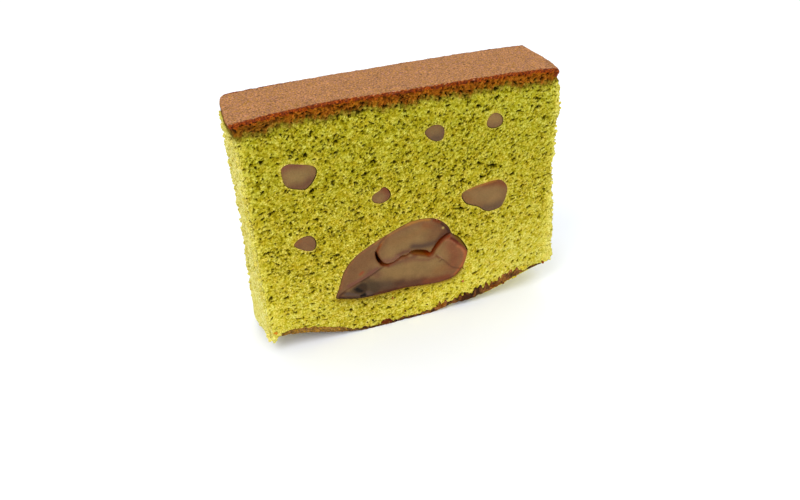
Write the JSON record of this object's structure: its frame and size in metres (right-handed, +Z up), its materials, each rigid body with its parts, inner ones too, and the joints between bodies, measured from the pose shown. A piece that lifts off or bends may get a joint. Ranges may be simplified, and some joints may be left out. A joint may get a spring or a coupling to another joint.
{
  "type": "castella sponge cake slice",
  "caption": "Upright slice of green-tea castella sponge with a browned top and bottom, standing on its underside, with candied chestnut pieces showing on both cut faces.",
  "frame": {"origin": "on the table under the middle of the slice's box", "axes": "+X along the slice from its left end to its right end, +Y from the front cut face to the back one, +Z up"},
  "size_m": [0.0846, 0.022, 0.0662],
  "materials": {
    "sponge": "matte, fine-pored yellow-green crumb",
    "crust": "matte browned crust",
    "chestnut": "smooth satin cut of candied chestnut, syrupy at its edge"
  },
  "bodies": {
    "root": {"sponge": "sponge", "chestnut_large": "chestnut", "chestnut_left": "chestnut", "chestnut_right": "chestnut", "chestnut_centre": "chestnut", "chestnut_upper": "chestnut", "chestnut_corner": "chestnut", "chestnut_low": "chestnut"}
  },
  "joints": []
}
